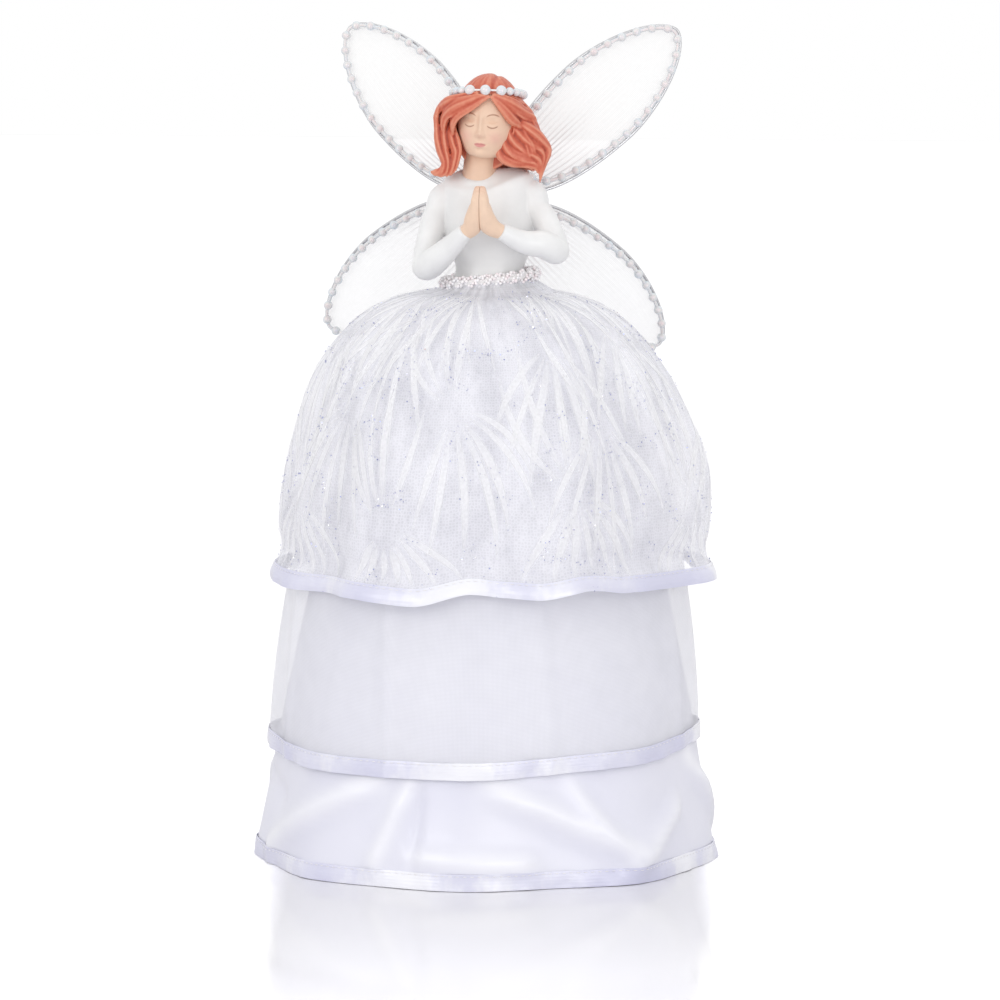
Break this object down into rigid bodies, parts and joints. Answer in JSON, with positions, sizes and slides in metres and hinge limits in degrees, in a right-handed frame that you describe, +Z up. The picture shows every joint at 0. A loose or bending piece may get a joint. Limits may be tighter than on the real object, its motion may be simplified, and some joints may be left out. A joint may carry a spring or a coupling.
{
  "type": "angel tree topper",
  "caption": "Angel figure on a dressed cone that goes over the top of a tree, with gathered skirts, praying hands and wire wings that bend to the back.",
  "frame": {"origin": "on the cone's axis, in the plane of its base rim", "axes": "+Z up along the cone's axis, -Y the way the figure faces, +X the figure's left"},
  "size_m": [0.1682, 0.1682, 0.2988],
  "materials": {
    "paperboard": "plain board",
    "satin": "white satin with a soft sheen",
    "organza": "sheer white organza",
    "lace": "sheer white net with raised strokes and glitter",
    "ribbon": "white satin ribbon",
    "thread": "white thread",
    "white_paint": "cast resin, glossy white paint",
    "skin_paint": "cast resin, satin skin paint",
    "hair_paint": "cast resin, red-brown paint",
    "pearl": "pearl lustre",
    "seed_bead": "pale pink pearl lustre",
    "silver_wire": "soft silver wire",
    "nylon": "sheer white stretch nylon"
  },
  "bodies": {
    "figure": {"paperboard_cone": "paperboard", "satin_skirt": "satin", "satin_hem_ribbon": "ribbon", "organza_skirt": "organza", "organza_hem_ribbon": "ribbon", "lace_skirt": "lace", "lace_hem_ribbon": "ribbon", "gather_thread": "thread", "torso_casting": "white_paint", "right_arm": "white_paint", "right_hand": "skin_paint", "left_arm": "white_paint", "left_hand": "skin_paint", "head_casting": "skin_paint", "hair_casting": "hair_paint", "headband_pearl_string": "pearl", "headband_pearl_right": "pearl", "headband_pearl_centre": "pearl", "headband_pearl_left": "pearl", "belt_bead_strand_1": "seed_bead", "belt_bead_strand_2": "seed_bead", "belt_bead_strand_3": "seed_bead", "wing_hub": "white_paint"},
    "upper_right_wing": {"upper_right_wing_wire": "silver_wire", "upper_right_wing_cover": "nylon", "upper_right_wing_pearls": "pearl", "upper_right_wing_binding": "thread"},
    "upper_left_wing": {"upper_left_wing_wire": "silver_wire", "upper_left_wing_cover": "nylon", "upper_left_wing_pearls": "pearl", "upper_left_wing_binding": "thread"},
    "lower_right_wing": {"lower_right_wing_wire": "silver_wire", "lower_right_wing_cover": "nylon", "lower_right_wing_pearls": "pearl", "lower_right_wing_binding": "thread"},
    "lower_left_wing": {"lower_left_wing_wire": "silver_wire", "lower_left_wing_cover": "nylon", "lower_left_wing_pearls": "pearl", "lower_left_wing_binding": "thread"}
  },
  "joints": [
    {"name": "upper_right_wing_bend", "type": "hinge", "parent": "figure", "child": "upper_right_wing", "pos_m": [-0.00382, 0.0176, 0.24096], "axis": [-0.7193, 0, -0.6947], "range_deg": [-8, 36]},
    {"name": "upper_left_wing_bend", "type": "hinge", "parent": "figure", "child": "upper_left_wing", "pos_m": [0.00402, 0.0176, 0.24075], "axis": [-0.682, 0, 0.7314], "range_deg": [-8, 36]},
    {"name": "lower_right_wing_bend", "type": "hinge", "parent": "figure", "child": "lower_right_wing", "pos_m": [-0.00433, 0.0176, 0.23361], "axis": [0.6157, 0, -0.788], "range_deg": [0, 20]},
    {"name": "lower_left_wing_bend", "type": "hinge", "parent": "figure", "child": "lower_left_wing", "pos_m": [0.00389, 0.0176, 0.23311], "axis": [0.7071, 0, 0.7071], "range_deg": [0, 20]}
  ]
}
